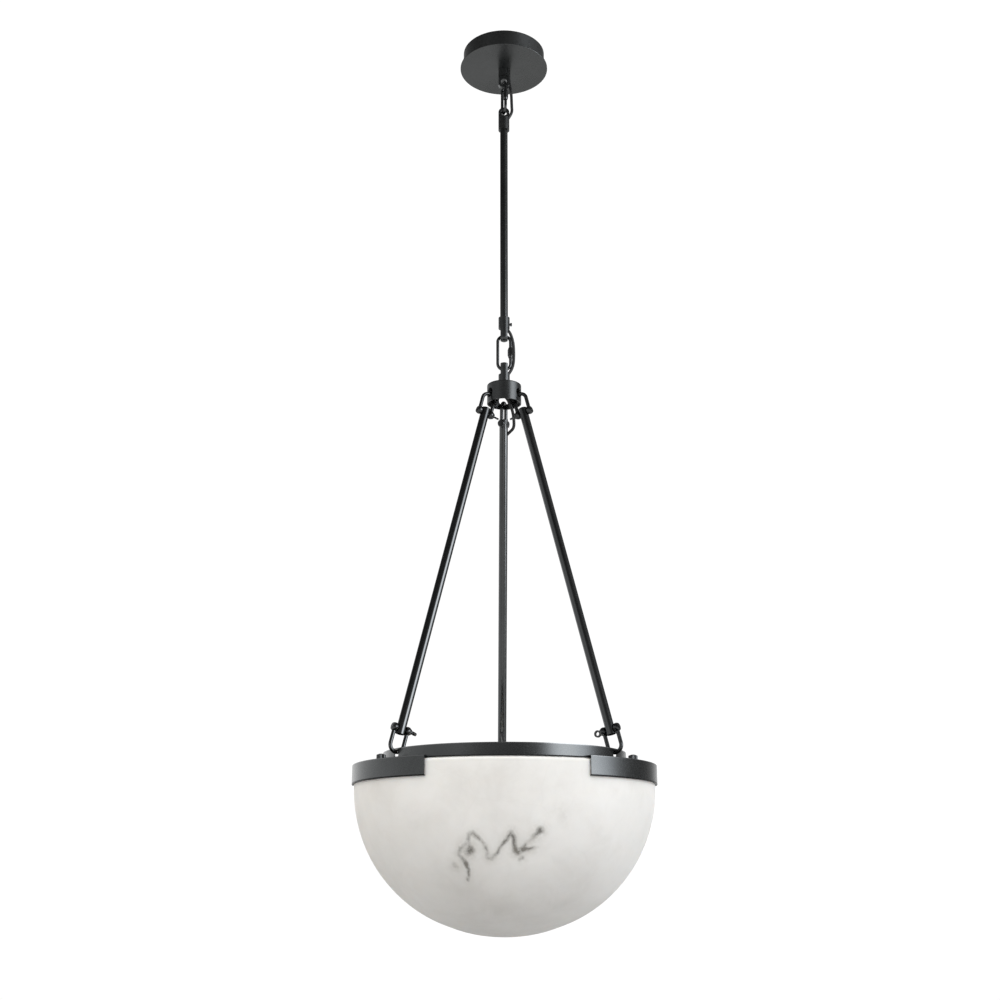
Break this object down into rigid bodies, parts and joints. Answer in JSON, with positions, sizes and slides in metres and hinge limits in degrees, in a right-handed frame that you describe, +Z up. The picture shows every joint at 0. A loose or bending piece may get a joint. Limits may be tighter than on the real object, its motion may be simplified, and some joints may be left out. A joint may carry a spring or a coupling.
{
  "type": "bowl pendant light",
  "caption": "Hemispherical alabaster bowl in a slim metal ring, hung by a three-rod tripod, links and a stem from a round ceiling canopy.",
  "frame": {"origin": "centre of the canopy's top edge on the ceiling plane, midway between the crossbar's slots", "axes": "+Z up, out of the canopy into the ceiling; +Y towards the back rod of the tripod; the gap between rim clamps faces -Y"},
  "size_m": [0.4572, 0.4538, 1.4831],
  "materials": {
    "gunmetal": "satin charcoal powder coat",
    "lamp_frame": "matte white paint",
    "zinc_steel": "zinc plated",
    "brass_thread": "turned",
    "ground_green": "green dyed screw",
    "alabaster": "honed, translucent, one grey-brown vein",
    "gasket_rubber": "matte",
    "porcelain": "glazed",
    "bulb_opal": "opal",
    "gland_black": "matte",
    "connector_plastic": "ribbed",
    "lead_insulation": "smooth",
    "cable_black": "satin jacket"
  },
  "bodies": {
    "canopy": {"canopy_drum": "gunmetal", "canopy_disc": "gunmetal", "disc_screws": "zinc_steel", "ceiling_crossbar": "zinc_steel", "canopy_nipple": "brass_thread", "nipple_nut": "zinc_steel", "ground_screw": "ground_green", "hang_loop": "gunmetal", "wire_connectors": "connector_plastic", "supply_leads": "lead_insulation", "cable_canopy": "cable_black", "cable_loop_upper_a": "cable_black"},
    "upper_link": {"upper_link": "gunmetal"},
    "upper_sleeve": {"upper_link_sleeve": "gunmetal"},
    "stem": {"stem_coupling": "gunmetal", "stem_rod": "gunmetal", "stem_collar": "gunmetal", "stem_collar_screw": "gunmetal", "cable_in_stem": "cable_black", "cable_loop_upper_b": "cable_black", "cable_loop_lower_a": "cable_black"},
    "lower_link": {"lower_link": "gunmetal"},
    "lower_sleeve": {"lower_link_sleeve": "gunmetal"},
    "knob_left": {"rim_knob_left": "gunmetal"},
    "knob_right": {"rim_knob_right": "gunmetal"},
    "knob_back": {"rim_knob_back": "gunmetal"},
    "bulb_1": {"bulb_1": "bulb_opal"},
    "bulb_2": {"bulb_2": "bulb_opal"},
    "bulb_3": {"bulb_3": "bulb_opal"},
    "lamp": {"alabaster_bowl": "alabaster", "bowl_gasket": "gasket_rubber", "bridge_screws": "zinc_steel", "cable_bowl": "cable_black", "cable_gland": "gland_black", "cable_hub_loop": "cable_black", "cable_in_back_rod": "cable_black", "cable_loop_lower_b": "cable_black", "hub_cup": "gunmetal", "hub_eye": "gunmetal", "hub_eye_screw": "gunmetal", "hub_nut": "zinc_steel", "inner_ring": "gunmetal", "lamp_bridge": "lamp_frame", "lamp_cluster": "lamp_frame", "lampholders": "porcelain", "lower_shackle_pins": "gunmetal", "lower_shackles": "gunmetal", "rim_clamp_back": "gunmetal", "rim_clamp_left": "gunmetal", "rim_clamp_right": "gunmetal", "rim_nuts": "zinc_steel", "rod_back": "gunmetal", "rod_left": "gunmetal", "rod_right": "gunmetal", "upper_shackle_pins": "gunmetal", "upper_shackles": "gunmetal"}
  },
  "joints": [
    {"name": "upper_link_swing", "type": "hinge", "parent": "canopy", "child": "upper_link", "pos_m": [0, 0, -0.0581], "axis": [0.2588, -0.9659, 0], "range_deg": [-20, 20], "deforming": ["cable_loop_upper_a"]},
    {"name": "stem_swing", "type": "hinge", "parent": "upper_link", "child": "stem", "pos_m": [0, 0, -0.1071], "axis": [0.9659, 0.2588, 0], "range_deg": [-20, 20], "deforming": ["cable_loop_upper_b"]},
    {"name": "lower_link_swing", "type": "hinge", "parent": "stem", "child": "lower_link", "pos_m": [0, 0, -0.5368], "axis": [1, 0, 0], "range_deg": [-20, 20], "deforming": ["cable_loop_lower_a"]},
    {"name": "lamp_swing", "type": "hinge", "parent": "lower_link", "child": "lamp", "pos_m": [0, 0, -0.5858], "axis": [0, 1, 0], "range_deg": [-20, 20], "deforming": ["cable_loop_lower_b"]},
    {"name": "upper_sleeve_run", "type": "slide", "parent": "upper_link", "child": "upper_sleeve", "axis": [0, 0, -1], "range_m": [0, 0.008]},
    {"name": "lower_sleeve_run", "type": "slide", "parent": "lower_link", "child": "lower_sleeve", "axis": [0, 0, -1], "range_m": [0, 0.008]},
    {"name": "knob_left_turn", "type": "hinge", "parent": "lamp", "child": "knob_left", "pos_m": [-0.17927, -0.1035, -1.2386], "axis": [0, 0, 1], "range_deg": [0, 1080]},
    {"name": "knob_right_turn", "type": "hinge", "parent": "lamp", "child": "knob_right", "pos_m": [0.18361, -0.09558, -1.2386], "axis": [0, 0, 1], "range_deg": [0, 1080]},
    {"name": "knob_back_turn", "type": "hinge", "parent": "lamp", "child": "knob_back", "pos_m": [0, 0.207, -1.2386], "axis": [0, 0, 1], "range_deg": [0, 1080]},
    {"name": "bulb_1_screw", "type": "hinge", "parent": "lamp", "child": "bulb_1", "pos_m": [0.01905, -0.011, -1.2616], "axis": [0.8365, -0.483, -0.2588], "range_deg": [0, 900]},
    {"name": "bulb_2_screw", "type": "hinge", "parent": "lamp", "child": "bulb_2", "pos_m": [0, 0.022, -1.2616], "axis": [0, 0.9659, -0.2588], "range_deg": [0, 900]},
    {"name": "bulb_3_screw", "type": "hinge", "parent": "lamp", "child": "bulb_3", "pos_m": [-0.01905, -0.011, -1.2616], "axis": [-0.8365, -0.483, -0.2588], "range_deg": [0, 900]}
  ]
}
